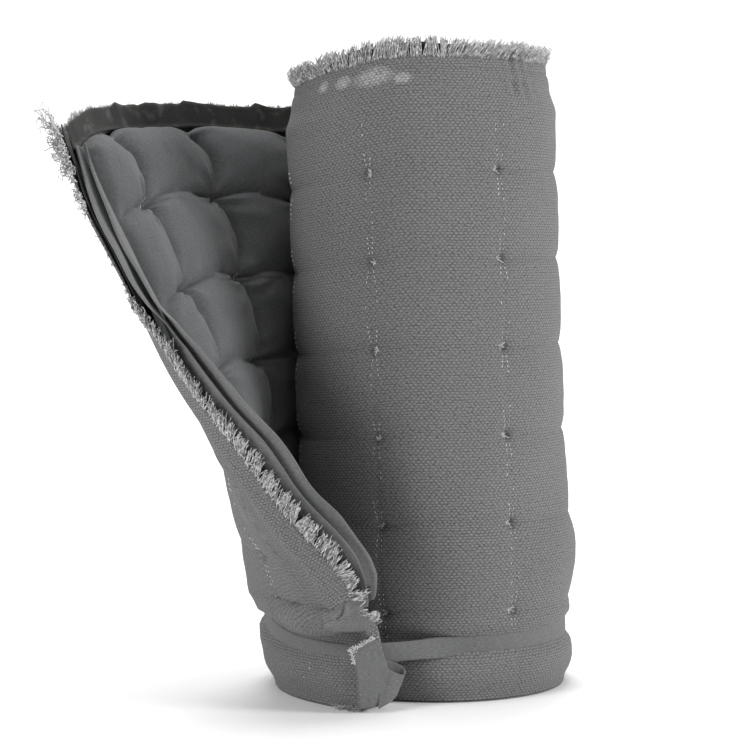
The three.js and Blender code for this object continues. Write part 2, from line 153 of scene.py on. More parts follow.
# The end fringe at rising heights: share of strands kept, length, curl, and rise
END_FRINGE = np.array([
    (66, 0.6, 8, 0.08, 0.0), (110, 0.7, 11, 0.07, 0.0), (160, 0.8, 17, 0.07, 0.4),
    (220, 0.8, 21, 0.07, 0.7), (400, 0.8, 20, 0.09, 0.8), (455, 0.8, 17, 0.18, 0.5),
    (472, 0.1, 6, 0.25, 0.0), (543, 0.1, 6, 0.25, 0.0), (549, 0.7, 13, 0.25, 0.0),
    (563, 0.7, 13, 0.25, 0.0), (568, 0.2, 9, 0.25, 0.0), (576, 1.0, 18, 0.25, 0.1),
    (600, 1.0, 23, 0.25, 0.4), (620, 1.0, 25, 0.25, 0.8),
])
# Yarns drawn for each fringe; the end's are then thinned by their share
YARNS = {"top_hidden": 1000, "top": 4000, "end": 2000, "core": 400, "foot": 90}
# Pale patches of the coarse cloth: place along the pad, reach, height from its foot, reach
PALE_PATCHES = (992, 20, 604, 10), (962, 9, 606, 7), (1018, 9, 599, 6), (938, 7, 607, 6)
# Folds in the lining above the loose layer: place, and how far each fades to its right
PLEATS = (1576, 30), (1663, 20), (1720, 24), (1769, 30)

# Where the axis of the roll meets the floor, and waves to a ripple
AXIS = np.array([109.985, 52.36])
RIPPLE_WAVES = 9
THREAD_TIP = 0.6  # share of its thickness that a thread keeps at its ends


# ---- The centre surface ----


def smooth(t):
    t = np.clip(t, 0, 1)
    return t * t * (3 - 2 * t)


def unit(v):
    return v / np.maximum(np.linalg.norm(v, axis=-1, keepdims=True), 1e-9)


def bell(x, reach):
    """Rounded bump: 1 in its middle, about a third at its reach."""
    return np.exp(-((x / reach) ** 2))


def dimple(x, y, reach_x, reach_y):
    """Bump over two distances."""
    return np.exp(-((x / reach_x) ** 2) - (y / reach_y) ** 2)


def from_table(table, at):
    table = np.array(table, float)
    return np.interp(at, table[:, 0], table[:, 1])


def summed(lengths, axis=0):
    """Running totals of lengths, from zero."""
    return np.insert(np.cumsum(lengths, axis), 0, 0, axis)


def spiral_radius(angle):
    return RIGHT_RADIUS + PITCH * angle / (2 * math.pi)


def spiral_length(angle):
    return RIGHT_RADIUS * angle + PITCH * angle * angle / (4 * math.pi)


def roll_angle(column):
    """Angle of the rolled pad at a place along it, counted in tuft columns."""
    outer_spacing = spiral_length(END_ANGLE) / (TUFT_COLUMNS - RIGHT_COLUMN)
    past = np.asarray(column, float) - RIGHT_COLUMN
    length = past * np.where(past < 0, ROLLED_SPACING, outer_spacing)
    radius = np.sqrt(RIGHT_RADIUS**2 + PITCH * length / math.pi)
    return (radius - RIGHT_RADIUS) * 2 * math.pi / PITCH


def peel_share(column):
    return np.clip((column - PEEL_COLUMN) / (TUFT_COLUMNS - PEEL_COLUMN), 0, 1)


def hump(shape, widths):
    """Share of a belly or flare that each row across the pad takes part in."""
    foot = smooth((widths - HUMP_FOOT["width"]) / HUMP_FOOT["reach"])
    return bell(widths - shape["width"], shape["reach"]) * foot


def plan_curves(columns, widths):
    """Plan positions [column][width]: on the spiral, then along the peeled end."""
    share = np.maximum(0, (widths / PAD_WIDTH - PEEL_FOOT) / (1 - PEEL_FOOT))
    opened = share**PEEL_POWER
    belly = hump(BELLY, widths)
    leave = END_ANGLE - (END_ANGLE - TOP_LEAVE_ANGLE) * opened - BELLY["leave"] * belly
    curl = REST_CURL * opened + BELLY["curl"] * belly
    flare = FLARE["turn"] * hump(FLARE, widths)
    places = []
    for index, column in enumerate(columns):
        if column <= PEEL_COLUMN:
            angle = roll_angle(column)
            at = np.array([math.cos(angle), math.sin(angle)]) * spiral_radius(angle)
            places.append(np.tile(at, (len(widths), 1)))
            continue
        at = places[-1]
        start = columns[index - 1]
        stride = (column - start) / PEEL_STEPS
        for step in range(PEEL_STEPS):
            middle = start + (step + 0.5) * stride
            turn = roll_angle(middle)
            past = (turn - leave) / LEAVE_SOFTNESS
            loose = 1 / (1 + np.exp(-past))
            overshoot = LEAVE_SOFTNESS * np.log1p(np.exp(past))
            flared = flare * smooth((peel_share(middle) - FLARE["from"]) / FLARE["over"])
            heading = turn - (1 - curl) * overshoot - flared
            bulge = LAYER_BULGE * math.sin(math.pi * peel_share(middle))
            swept = roll_angle(middle + stride / 2) - roll_angle(middle - stride / 2)
            rolled = (spiral_radius(turn) + bulge) * swept
            free = PEEL_LENGTH * stride / (TUFT_COLUMNS - PEEL_COLUMN)
            length = rolled + (free - rolled) * loose
            at = at + np.stack([-np.sin(heading) * length, np.cos(heading) * length], -1)
        places.append(at)
    return np.array(places)


def centre_surface(columns, widths):
    """Centre points [column][width][xyz]: each row climbs by what its slant leaves."""
    plan = plan_curves(columns, widths)
    share = peel_share(columns)[:, None]
    rise = np.diff(widths)[None, :] * (1 + CORNER_STRETCH * share**2)
    slant = np.sum(np.diff(plan, axis=1) ** 2, -1)
    climb = np.sqrt(np.maximum(rise**2 - slant, (LEAST_CLIMB * rise) ** 2))
    climb = summed(climb, 1)
    slump = PEEL_SLUMP * smooth(share / SLUMP_REACH) * widths / PAD_WIDTH
    return np.concatenate([plan, (PAD_FOOT + climb - slump)[..., None]], -1)


class Surface:
    """The centre surface on a grid [column][width], with its directions at every point."""

    def __init__(self, columns, widths):
        self.columns = np.asarray(columns, float)
        self.widths = np.asarray(widths, float)
        self.point = centre_surface(self.columns, self.widths)
        self.along = unit(np.gradient(self.point, axis=0))
        self.up = unit(np.gradient(self.point, axis=1))
        self.out = unit(np.cross(self.along, self.up))
        stride = np.linalg.norm(np.diff(self.point[:, len(widths) // 2], axis=0), axis=-1)
        self.length = summed(stride)
        self.cloth_u, self.cloth_v = self.laid_flat()

    def laid_flat(self):
        """Places on the outer cloth of every grid point, counted up and down from one low row."""
        gap = np.diff(self.point + self.out * PUFF_HALF, axis=1)
        slid = np.sum(gap * (self.along[:, 1:] + self.along[:, :-1]) / 2, -1)
        climb = np.sqrt(np.maximum(np.sum(gap**2, -1) - slid**2, 0))
        slid = summed(slid, 1)
        base = int(np.argmin(abs(self.widths - FLAT_ROW)))
        stride = np.linalg.norm(np.diff(self.point[:, base], axis=0), axis=-1)
        return summed(stride)[:, None] + slid - slid[:, base : base + 1], summed(climb, 1)

    def row(self, width):
        """Frames [column] on the row nearest to a width."""
        j = int(np.argmin(abs(self.widths - width)))
        return self.point[:, j], self.along[:, j], self.up[:, j], self.out[:, j]

    def end(self, i):
        """Frames [width] of the first column, 0, or the last, -1."""
        return self.point[i], self.along[i], self.up[i], self.out[i]


def settle(p):
    """The roll's lean and the drop of its left side; millimetres in, metres out."""
    drop = LEFT_DROP * smooth(-p[..., 0] / LEFT_REACH) * p[..., 2] / PAD_WIDTH
    z = p[..., 2] - drop
    return np.stack([p[..., 0] - LEAN * z + AXIS[0], p[..., 1] + AXIS[1], z], -1) * MM


def ripple(seed, u, v, size):
    """Smooth uneven height, about -1 to 1, with bumps of about the given size."""
    rng = np.random.default_rng(seed)
    total = 0
    for _ in range(RIPPLE_WAVES):
        turn = rng.uniform(0, 2 * math.pi)
        wave = 2 * math.pi / (size * rng.uniform(0.7, 1.5))
        phase = rng.uniform(0, 2 * math.pi)
        total = total + np.sin(wave * (u * math.cos(turn) + v * math.sin(turn)) + phase)
    return total / math.sqrt(2 * RIPPLE_WAVES)


# ---- Meshes ----


def grid_quads(n, m, first=0, ring=False):
    """Faces of a grid of n by m points, on the side of i-direction x j-direction."""
    i = np.arange(n if ring else n - 1)
    j = np.arange(m - 1)
    a = first + i[:, None] * m + j
    b = first + ((i[:, None] + 1) % n) * m + j
    return np.stack([a, b, b + 1, a + 1], -1).reshape(-1, 4)


def make_mesh(name, points, quads, uv, material):
    """Object from points in metres; uv is one pair a point, in metres of cloth, or None."""
    mesh = bpy.data.meshes.new(name)
    faces = quads if isinstance(quads, list) else quads.tolist()
    mesh.from_pydata(points.reshape(-1, 3).tolist(), [], faces)
    if uv is not None:
        layer = mesh.uv_layers.new(name="cloth")
        loops = np.empty(len(mesh.loops), int)
        mesh.loops.foreach_get("vertex_index", loops)
        layer.data.foreach_set("uv", uv.reshape(-1, 2)[loops].ravel())
    mesh.polygons.foreach_set("use_smooth", np.ones(len(mesh.polygons), bool))
    mesh.update()
    piece = bpy.data.objects.new(name, mesh)
    bpy.context.collection.objects.link(piece)
    mesh.materials.append(material)
    return piece


def cloth_uv(u, v):
    return np.stack(np.broadcast_arrays(u, v), -1) * MM


def sheet_mesh(name, point, out, thickness, uv, material, ring=False):
    """Closed cloth of even thickness on a grid of points."""
    n, m = point.shape[:2]
    faces = np.concatenate([point + out * thickness / 2, point - out * thickness / 2])
    quads = [grid_quads(n, m, 0, ring), grid_quads(n, m, n * m, ring)[:, ::-1]]
    i = np.arange(n if ring else n - 1)
    k = (i + 1) % n
    low, high = n * m, m - 1
    quads.append(np.stack([i * m + low, k * m + low, k * m, i * m], -1))
    quads.append(np.stack([i * m, k * m, k * m + low, i * m + low], -1) + high)
    if not ring:
        j = np.arange(m - 1)
        last = (n - 1) * m
        quads.append(np.stack([j + low, j, j + 1, j + 1 + low], -1))
        quads.append(np.stack([j, j + low, j + 1 + low, j + 1], -1) + last)
    both = np.concatenate([uv.reshape(-1, 2)] * 2)
    return make_mesh(name, settle(faces), np.concatenate(quads), both, material)


def thread_mesh(name, path, radius, material, sides=4):
    """Joined tubes on paths [thread][step][xyz] in millimetres, closed at both ends."""
    count, steps = path.shape[:2]
    along = unit(np.gradient(path, axis=1))
    level = np.where(abs(along[..., 2:3]) < 0.9, [[[0.0, 0, 1]]], [[[1.0, 0, 0]]])
    side = unit(np.cross(along, level))
    other = np.cross(along, side)
    turn = (np.arange(sides) * 2 * math.pi / sides)[:, None]
    thick = np.ones(steps)
    thick[0] = thick[-1] = THREAD_TIP
    ring = np.cos(turn) * side[:, :, None] + np.sin(turn) * other[:, :, None]
    skin = path[:, :, None] + ring * radius * thick[None, :, None, None]
    points = settle(skin).reshape(-1, 3)
    first = (np.arange(count) * steps * sides)[:, None]
    k = np.arange(sides)[None]
    start = first[..., None] + np.arange(steps - 1)[None, :, None] * sides
    a, b = start + k, start + (k + 1) % sides
    quads = np.stack([a, b, b + sides, a + sides], -1).reshape(-1, 4)
    far = first + (steps - 1) * sides + k
    faces = quads.tolist() + (first + k[:, ::-1]).tolist() + far.tolist()
    return make_mesh(name, points, faces, None, material)


# ---- Materials ----


class Nodes:
    """A material's node tree, with short calls for the nodes it needs."""

    def __init__(self, name, roughness, sheen):
        self.material = bpy.data.materials.new(name)
        self.material.use_nodes = True
        self.tree = self.material.node_tree
        self.shader = self.tree.nodes["Principled BSDF"]
        self.feed(self.shader, {"Roughness": roughness, "Specular IOR Level": 0.25})
        self.feed(self.shader, {"Sheen Weight": sheen, "Sheen Roughness": 0.6})

    def feed(self, node, inputs):
        """Gives each input a plain value or another node's output."""
        for key, value in inputs.items():
            if isinstance(value, bpy.types.NodeSocket):
                self.tree.links.new(value, node.inputs[key])
            else:
                node.inputs[key].default_value = value

    def add(self, kind, inputs, **settings):
        node = self.tree.nodes.new(kind)
        for key, value in settings.items():
            setattr(node, key, value)
        self.feed(node, inputs)
        return node

    def math(self, operation, a, b=0.0, c=0.0):
        return self.add("ShaderNodeMath", {0: a, 1: b, 2: c}, operation=operation).outputs[0]

    def times(self, a, b, plus=0.0):
        return self.math("MULTIPLY_ADD", a, b, plus)

    def uv(self):
        """The place on the cloth, whole and split into its two parts."""
        place = self.add("ShaderNodeUVMap", {}, uv_map="cloth").outputs[0]
        return place, self.add("ShaderNodeSeparateXYZ", {0: place}).outputs

    def place(self):
        return self.add("ShaderNodeTexCoord", {}).outputs["Object"]

    def noise(self, vector, scale, detail=3.0, roughness=0.55):
        inputs = {"Vector": vector, "Scale": scale, "Detail": detail, "Roughness": roughness}
        return self.add("ShaderNodeTexNoise", inputs).outputs["Fac"]

    def ramp(self, factor, *stops):
        node = self.add("ShaderNodeValToRGB", {0: factor})
        ramp = node.color_ramp
        while len(ramp.elements) < len(stops):
            ramp.elements.new(0.5)
        for element, (place, color) in zip(ramp.elements, stops):
            element.position = place
            element.color = (*color, 1.0)
        return node.outputs[0]

    def scaled(self, color, factor):
        """Colour times a factor of about one."""
        inputs = {0: color, "Scale": factor}
        return self.add("ShaderNodeVectorMath", inputs, operation="SCALE").outputs[0]

    def clamped(self, value, low, high):
        return self.math("MINIMUM", self.math("MAXIMUM", value, low), high)

    def around_one(self, factor, spread):
        return self.times(factor, 2 * spread, 1 - spread)

    def finish(self, color, height, distance):
        bump = self.add("ShaderNodeBump", {"Distance": distance, "Strength": 1.0, "Height": height})
        self.feed(self.shader, {"Normal": bump.outputs[0], "Base Color": color})
        return self.material


def grey(value, cool=0.0):
    """Linear colour of an sRGB grey from 0 to 255, a little cooler or warmer."""
    def linear(v):
        v /= 255
        return v / 12.92 if v <= 0.04045 else ((v + 0.055) / 1.055) ** 2.4

    return linear(value - cool), linear(value), linear(value + cool)


def woven(name, across, up, dark, light, distance):
    """Coarse plain weave: rows of short raised floats, every other row set off by half.
    Paler patches lighten the upper border here and there."""
    n = Nodes(name, 0.95, 0.05)
    uv, split = n.uv()
    waves = []
    for axis, pitch, scale, sway in ((0, across, 150.0, 5.0), (1, up, 70.0, 2.4)):
        shift = n.times(n.noise(uv, scale, 2.0), sway, -sway / 2)
        waves.append(n.math("SINE", n.times(split[axis], math.pi / pitch, shift)))
    wide = n.clamped(n.times(waves[0], 2.2), -1.0, 1.0)
    floats = n.times(wide, waves[1])
    between = n.math("POWER", n.math("SUBTRACT", 1.0, n.math("ABSOLUTE", waves[1])), 2.0)
    thick = n.noise(uv, 420.0, 2.0)
    shade = n.times(thick, 0.74, n.times(floats, 0.17, n.times(between, -0.36, 0.24)))
    height = n.times(thick, 0.4, n.times(shade, 0.8))
    middle = grey(0.3 * dark + 0.7 * light)
    color = n.ramp(shade, (0.12, grey(dark)), (0.45, middle), (0.85, grey(light)))
    color = n.scaled(color, n.around_one(n.noise(n.place(), 9.0, 4.0), 0.12))
    # Paler patches on the upper border, which lighten the weave's colour
    pale_patch = 0.0
    for patch in PALE_PATCHES:
        far = 1.2
        for axis, (centre, reach) in enumerate((patch[:2], patch[2:])):
            off = n.times(split[axis], 1000.0 / reach, -centre / reach)
            far = n.math("SUBTRACT", far, n.times(off, off))
        pale_patch = n.math("MAXIMUM", pale_patch, far)
    rough = n.times(n.noise(uv, 260.0, 3.0), 2.4, -0.4)
    pale_patch = n.clamped(n.times(pale_patch, rough), 0.0, 1.0)
    return n.finish(n.scaled(color, n.times(pale_patch, 1.1, 1.0)), height, distance)


def smooth_cloth(name, base, cool, spread, grain, distance):
    """Fine plain cotton: a faint close weave, soft mottling, a dull surface."""
    n = Nodes(name, 0.9, 0.1)
    uv, split = n.uv()
    across, up = (n.math("SINE", n.times(split[axis], math.pi / grain)) for axis in (0, 1))
    streaks = n.add("ShaderNodeMapping", {"Scale": (0.35, 1.6, 1.0), "Vector": uv}).outputs[0]
    fine = n.noise(streaks, 700.0, 3.0)
    mottle = n.noise(n.place(), 22.0, 5.0, 0.65)
    color = n.ramp(fine, (0.3, grey(base * 0.86, cool)), (0.7, grey(base * 1.14, cool)))
    color = n.scaled(color, n.around_one(mottle, spread))
    return n.finish(color, n.times(n.times(across, up), 0.3, fine), distance)


def shaded_cloth_lit_blotches(name, base, cool, lit_blotch):
    """Lining cloth painted dark grey, partly its own colour and partly painted shade, with paler
    blotches that are painted patches of light.
    """
    n = Nodes(name, 0.9, 0.05)
    place = n.place()
    fine = n.noise(place, 900.0, 2.0)
    color = n.ramp(fine, (0.2, grey(base * 0.88, cool)), (0.8, grey(base * 1.12, cool)))
    # Paler blotches: painted patches of light on the lining
    lit_spots = n.clamped(n.times(n.noise(place, 60.0, 3.0, 0.5), 9.0, -5.0), 0.0, 1.0)
    return n.finish(n.scaled(color, n.times(lit_spots, lit_blotch, 1.0)), fine, 0.0002)


def yarn(name, dark, light):
    """Loose cotton yarn: each strand its own grey, twisted, fuzzy."""
    n = Nodes(name, 0.9, 0.2)
    place = n.place()
    tone = n.noise(place, 300.0, 2.0, 0.7)
    twist = n.noise(place, 1500.0, 2.0)
    middle = grey((dark + light) / 2)
    color = n.ramp(tone, (0.3, grey(dark)), (0.5, middle), (0.68, grey(light)))
    return n.finish(color, twist, 0.0006)


COARSE = woven("coarse_weave", across=0.002, up=0.00263, dark=36, light=121, distance=0.0007)
COTTON = smooth_cloth("smooth_cotton", 88, cool=1.2, spread=0.14, grain=0.0005, distance=0.0004)
FACING_COTTON = smooth_cloth("facing_cotton", 102, 0.5, 0.12, grain=0.0005, distance=0.0002)
# The lining's dark grey is partly painted shade, and its pale blotches are painted light
LINING_SHADE_AND_LIGHT = shaded_cloth_lit_blotches("lining_painted_shade_and_light", 45, cool=-0.8, lit_blotch=1.3)
TAPE = smooth_cloth("tie_cotton", 98, 0.5, 0.12, grain=0.0006, distance=0.0003)
YARN = yarn("fringe_yarn", dark=118, light=238)
THREAD = yarn("white_thread", dark=200, light=240)


def piece_of(obj, slot, *nodes):
    """Every piece rides on the roll and stands for its plain solids; the finish named by slot is
    not used.
    """
    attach(obj, "root")
    if nodes:
        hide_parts(*nodes)
    return obj


# ---- Shape of the two faces of the filled body ----


def channel_places(column, width, bow_across, bow_up):
    """Distances in mm to the nearest channel along and across the pad.
    The channels bow between their tufts, each by its own amount."""
    row = width / ROW_SPACING
    k = np.floor(column)
    j = np.floor(row)
    uneven = 0.75 + 0.25 * np.sin(2.3 * k + 4.1 * j)
    bent = column + bow_across * uneven * np.sin(math.pi * (row - j))
    gap = column - 0.5
    arch = row - bow_up * uneven * np.sin(math.pi * (gap - np.floor(gap)))
    across = abs(bent - np.floor(bent) - 0.5) * ROLLED_SPACING
    up = abs(arch - np.clip(np.round(arch), 1, TUFT_ROWS)) * ROW_SPACING
    return across, up


def puff(distance, reach):
    """Rounded side of a puff: 0 in the channel, 1 from the reach on."""
    return np.sqrt(1 - (1 - np.clip(distance / reach, 0, 1)) ** 2)


def creases(column, width, seed, size):
    """Small wrinkles that run out from the tufts, of up to the given height."""
    across, up = channel_places(column, width, 0.0, 0.0)
    near = dimple(across, up, 32, 32)
    turn = np.arctan2(up, across)
    return size * near * np.sin(9 * turn + 5 * ripple(seed, column * ROLLED_SPACING, width, 90))


def loose_share(column):
    """How free the padding is to swell inwards: 0 in the roll, 1 on the loose layer."""
    return smooth((column - 12.1) / 0.8)


def inner_depth(column, width):
    across, up = channel_places(column, width, 0.15, 0.12)
    near_up = bell(up, 26)
    near_across = bell(across, 30)
    loose = loose_share(column)
    long_channel = (11.0 + 9.0 * loose + 2.0 * near_up) * (1 - puff(across, 48))
    cross_channel = (6.0 + 2.0 * loose + (5.0 + 5.0 * loose) * near_across) * (1 - puff(up, 40))
    slit = (1.5 + 4.5 * loose) * bell(across, 4.5)
    fold = 4.0 * loose * near_across * bell(up, 4)
    tuft = 2.5 * dimple(across, up, 6, 6)
    wrinkles = creases(column, width, 7, 1.3 + 2.2 * loose)
    return np.hypot(long_channel, cross_channel) + slit + fold + tuft + wrinkles


def outer_depth(column, width):
    across, up = channel_places(column, width, 0.0, 0.02)
    near_up = bell(up, 22)
    near_across = bell(across, 26)
    long_channel = (1.2 + 2.2 * near_up) * (1 - puff(across, 30))
    cross_channel = (3.0 + 2.0 * near_across) * (1 - puff(up, 32))
    tuft = 2.5 * dimple(across, up, 9, 7) + 5.0 * dimple(across, up, 3.2, 3.6)
    inside = smooth((PAD_WIDTH - width) / 22)
    return (np.hypot(long_channel, cross_channel) + tuft) * inside


def from_edges(column, width):
    """Distance in mm from the nearest seam."""
    from_side = np.minimum(width, PAD_WIDTH - width)
    return np.minimum(from_side, np.minimum(column, TUFT_COLUMNS - column) * ROLLED_SPACING)


def tie_height(column):
    """The tie runs level, but climbs over the left side of the loose layer."""
    climb = bell(column - TIE_RISE["column"], TIE_RISE["reach"])
    return (TIE_LOW + TIE_HIGH) / 2 + TIE_RISE["height"] * climb


def low_swell(column, width):
    return sum(
        swell * dimple(column - at, width - height, reach, rise)
        for at, reach, height, rise, swell in LOW_SWELLS
    )


def seam_swell(column):
    """How far the filling pushes the upper seam outwards on the roll."""
    return 3.0 * smooth((TUFT_COLUMNS - column - 2) / 1.5)


def outer_half(column, width):
    """Distance of the outer face from the centre surface."""
    edge = from_edges(column, width)
    half = AT_SEAM + (CROWN - AT_SEAM) * smooth(edge / SHOULDER)
    u = column * ROLLED_SPACING
    rough = 0.5 * ripple(4, u, width, 70) + 0.25 * ripple(6, u, width, 22)
    half = half - outer_depth(column, width) + rough * smooth(edge / 12)
    tied = smooth((column - TIE_FIRST_COLUMN + 0.6) / 0.3)
    squeeze = np.exp(-(((width - tie_height(column)) / TIE_SQUEEZE) ** 4)) * tied
    half = half + (PUFF_HALF - TIE_SINK - half) * squeeze
    half = half + low_swell(column, width)
    gathered = dimple(u - GATHER["at"], PAD_WIDTH - width, GATHER["reach"], 16)
    half = half + GATHER["height"] * gathered * np.sin(u / GATHER["wave"])
    return half + seam_swell(column) * bell(PAD_WIDTH - width, 18)


def inner_half(column, width):
    """Distance of the inner face from the centre surface."""
    edge = np.minimum(1, from_edges(column, width) / EDGE_ROUND)
    swell = PUFF_HALF + 8.0 * loose_share(column)
    half = swell * np.sqrt(1 - (1 - edge) ** 2) - inner_depth(column, width) * smooth(edge * 3)
    u = column * ROLLED_SPACING
    half = half + 0.6 * ripple(2, u, width, 70) + 0.35 * ripple(8, u, width, 20)
    return np.maximum(half, 1.5 * np.minimum(1, edge * EDGE_ROUND / 3))


def steps(*spans):
    """Values over spans of (start, stop, step), each start once, and the last stop."""
    parts = []
    for start, stop, step in spans:
        count = max(1, round((stop - start) / step))
        parts.append(start + (stop - start) * np.arange(count) / count)
    return np.concatenate([*parts, [spans[-1][1]]])


def refined(values, centres, reach, step):
    """Values with extra ones close to each centre."""
    near = np.arange(-reach, reach + step / 2, step)
    extra = (np.asarray(centres)[:, None] + near).ravel()
    clear = np.abs(extra - values[:, None]).min(1) > 0.6 * step
    clear[[0, -1]] = True
    return np.sort(np.concatenate([values[clear], extra]))


# Grid lines across and along the pad, closer at the seams, the tufts and the gathered part
SIDE_STEPS = steps((0, 16, 2), (16, PAD_WIDTH - 16, 4.6), (PAD_WIDTH - 16, PAD_WIDTH, 2))
SIDE_STEPS = refined(SIDE_STEPS, np.arange(1, TUFT_ROWS + 1) * ROW_SPACING, 8, 1.8)
OUTER_STEPS = steps((0, 6.5, 0.2), (6.5, PEEL_COLUMN, 0.042), (PEEL_COLUMN, TUFT_COLUMNS, 0.038))
OUTER_STEPS = refined(OUTER_STEPS, np.arange(FIRST_SHOWN, TUFT_COLUMNS) + 0.5, 0.07, 0.014)
OUTER_STEPS = refined(OUTER_STEPS, [GATHER["at"] / ROLLED_SPACING], 0.3, 0.014)
INNER_STEPS = steps((0, PEEL_COLUMN, 0.2), (PEEL_COLUMN, TUFT_COLUMNS, 0.026))
INNER_STEPS = refined(INNER_STEPS, np.arange(FIRST_INSIDE, TUFT_COLUMNS) + 0.5, 0.07, 0.014)
OUTER = Surface(OUTER_STEPS, SIDE_STEPS)
INNER = Surface(INNER_STEPS, SIDE_STEPS)


# ---- Borders: cloth outside the seams ----


def rim_wave(u, heights):
    """How far the upper border sways outwards and upwards, on a grid [along][height]."""
    share = np.maximum(0, heights / BORDER)
    fade = smooth((OUTER.length[-1] - u) / 30)[:, None]
    creased = GATHER["height"] * np.sin(u / GATHER["wave"])
    creased = creased * bell(u - GATHER["at"], GATHER["reach"])
    sway = 1.4 * ripple(21, u, 0, 75) + 0.7 * ripple(22, u, 0, 26) + creased
    rise = 0.9 * ripple(23, u, 0, 30)
    return sway[:, None] * share * fade, rise[:, None] * share * fade


def over_seam(height, side):
    """Points [along][height] over the upper seam, so far up and so far outwards."""
    p, _, up, out = OUTER.row(PAD_WIDTH)
    return p[:, None] + up[:, None] * height[..., None] + out[:, None] * side[..., None]


def top_points(heights, offset):
    """Points of the upper border, [along][height]."""
    sway, rise = rim_wave(OUTER.length, heights)
    pushed = seam_swell(OUTER.columns)[:, None] * smooth(1 - heights / BORDER)
    hem = HEM["depth"] * bell(heights - HEM["line"], HEM["reach"])
    return over_seam(heights + rise, offset - TOP_SLANT * heights + sway + pushed - hem)


def evened(rows, w):
    """Vectors of the free end's rows, evened out where the tie gathers the cloth."""
    near = bell(w[:, None] - w[None], EVENED["reach"])
    even = near @ rows / near.sum(1, keepdims=True)
    return rows + (even - rows) * smooth((EVENED["below"] - w) / EVENED["fade"])[:, None]


def end_rows(heights):
    """Width and frame of every row of the free end, and over the upper seam."""
    p, along, up, out = OUTER.end(-1)
    h = np.asarray(heights, float)[:, None]
    p = np.concatenate([p, p[-1] + up[-1] * h - out[-1] * TOP_SLANT * h])
    along, up, out = (np.concatenate([v, np.repeat(v[-1:], len(h), 0)]) for v in (along, up, out))
    return np.concatenate([OUTER.widths, PAD_WIDTH + h[:, 0]]), p, along, up, out


def end_points(lines, first, heights=(), offset=BORDER_OFFSET, extra_turn=0.0):
    """Grid [line][row] beyond the free end, with its normals, leading and upward directions.
    Each line is (reach, depth), numbers or one number a row; the cloth bends as it goes."""
    w, p, along, up, out = end_rows(heights)
    root, along, up, out = out, *(unit(evened(part, w)) for part in (along, up, out))
    aside = evened(p, w) - p
    pick = w >= first
    w, p, root, along, up, out, aside = (part[pick] for part in (w, p, root, along, up, out, aside))
    start = p + root * np.broadcast_to(offset, w.shape)[:, None]
    turn = np.radians(from_table(END_TURN, w) + extra_turn)
    bend = np.radians(from_table(CREASE_BEND, w))
    far = np.arange(0, FURTHEST, 1.0)
    angle = turn * smooth((far[:, None] + 0.5) / 10) + bend * smooth((far[:, None] - 11.5) / 14)
    run, dip = summed(np.cos(angle)), summed(np.sin(angle))
    rows = np.arange(len(w))
    parts = []
    for reach, depth in lines:
        reach, depth = np.full_like(w, reach), np.full_like(w, depth)[:, None]
        k = np.minimum(reach.astype(int), FURTHEST - 2)
        share = reach - k
        x, y = (way[k, rows] * (1 - share) + way[k + 1, rows] * share for way in (run, dip))
        a = turn * smooth(reach / 10) + bend * smooth((reach - 12) / 14)
        ahead = along * np.cos(a)[:, None] - out * np.sin(a)[:, None]
        normal = unit(np.cross(ahead, up))
        moved = start + aside * smooth(reach / 14)[:, None]
        point = moved - out * y[:, None] + along * x[:, None] - normal * depth
        point[:, 2] += CORNER_LIFT * reach * smooth((w - 530) / 70)
        parts.append((point, normal, ahead, up))
    return w, *(np.array(part) for part in zip(*parts))


def outer_cover():
    """The coarse cloth, one skin over the outer face, the upper border and the end border."""
    column, width = np.meshgrid(OUTER.columns, OUTER.widths, indexing="ij")
    body = OUTER.point + OUTER.out * outer_half(column, width)[..., None]
    main = np.concatenate([body, top_points(BORDER_LINES[None], AT_SEAM)], 1)
    lines = [(reach, BORDER_OFFSET - AT_SEAM) for reach in END_LINES]
    _, beyond, normal, _, _ = end_points(lines, 0, BORDER_LINES)
    grid = np.concatenate([main, beyond, beyond[-1:] - normal[-1:] * RIM])
    inward = -unit(np.concatenate([OUTER.out[:, -1], normal[:, -1], normal[-1:, -1]]))
    grid = np.concatenate([grid, grid[:, -1:] + inward[:, None] * RIM], 1)
    beyond_end, over_top = (np.append(part, part[-1] + RIM) for part in (END_LINES, BORDER_LINES))
    added = ((0, len(beyond_end)), (0, len(over_top)))
    u, v = (np.pad(part, added, "edge") for part in (OUTER.cloth_u, OUTER.cloth_v))
    u[-len(beyond_end) :] += beyond_end[:, None]
    v[:, -len(over_top) :] += over_top
    quads = grid_quads(*grid.shape[:2])
    return make_mesh("cover_outer", settle(grid), quads, cloth_uv(u, v), COARSE)


def inner_cover():
    """The smooth cotton of the inner face, its upper seam drawn down between the puffs."""
    column, width = np.meshgrid(INNER.columns, INNER.widths, indexing="ij")
    across, _ = channel_places(column, width, 0.0, 0.0)
    drawn = 8.0 * bell(across, 13) * smooth((width - PAD_WIDTH + 60) / 60)
    points = INNER.point - INNER.out * inner_half(column, width)[..., None]
    points = points - INNER.up * drawn[..., None]
    uv = cloth_uv(INNER.length[:, None], width)
    quads = grid_quads(*column.shape)[:, ::-1]
    return make_mesh("cover_inner", settle(points), quads, uv, COTTON)


for obj, slot in ((outer_cover(), "coarse"), (inner_cover(), "cotton")):
    piece_of(obj, slot, "pad")


def border_top():
    heights = np.concatenate([[-1], BORDER_LINES[:-1], [BORDER]])
    grid = top_points(heights[None], BORDER_OFFSET)
    normals = np.repeat(OUTER.row(PAD_WIDTH)[3][:, None], len(heights), 1)
    uv = cloth_uv(OUTER.length[:, None], PAD_WIDTH + heights[None])
    return sheet_mesh("border_top_cloth", grid, normals, CLOTH, uv, COARSE)


def pleats(u):
    """Folds of the lining above the loose layer: each a step that fades to its right."""
    return sum(
        smooth((at + 2 - u) / 3) * np.exp(np.minimum(0, u - at) / wide) for at, wide in PLEATS
    )


def flap_share(u):
    """0 above the roll, 1 above the loose layer."""
    return smooth((u - FLAP_START) / FLAP_BLEND)


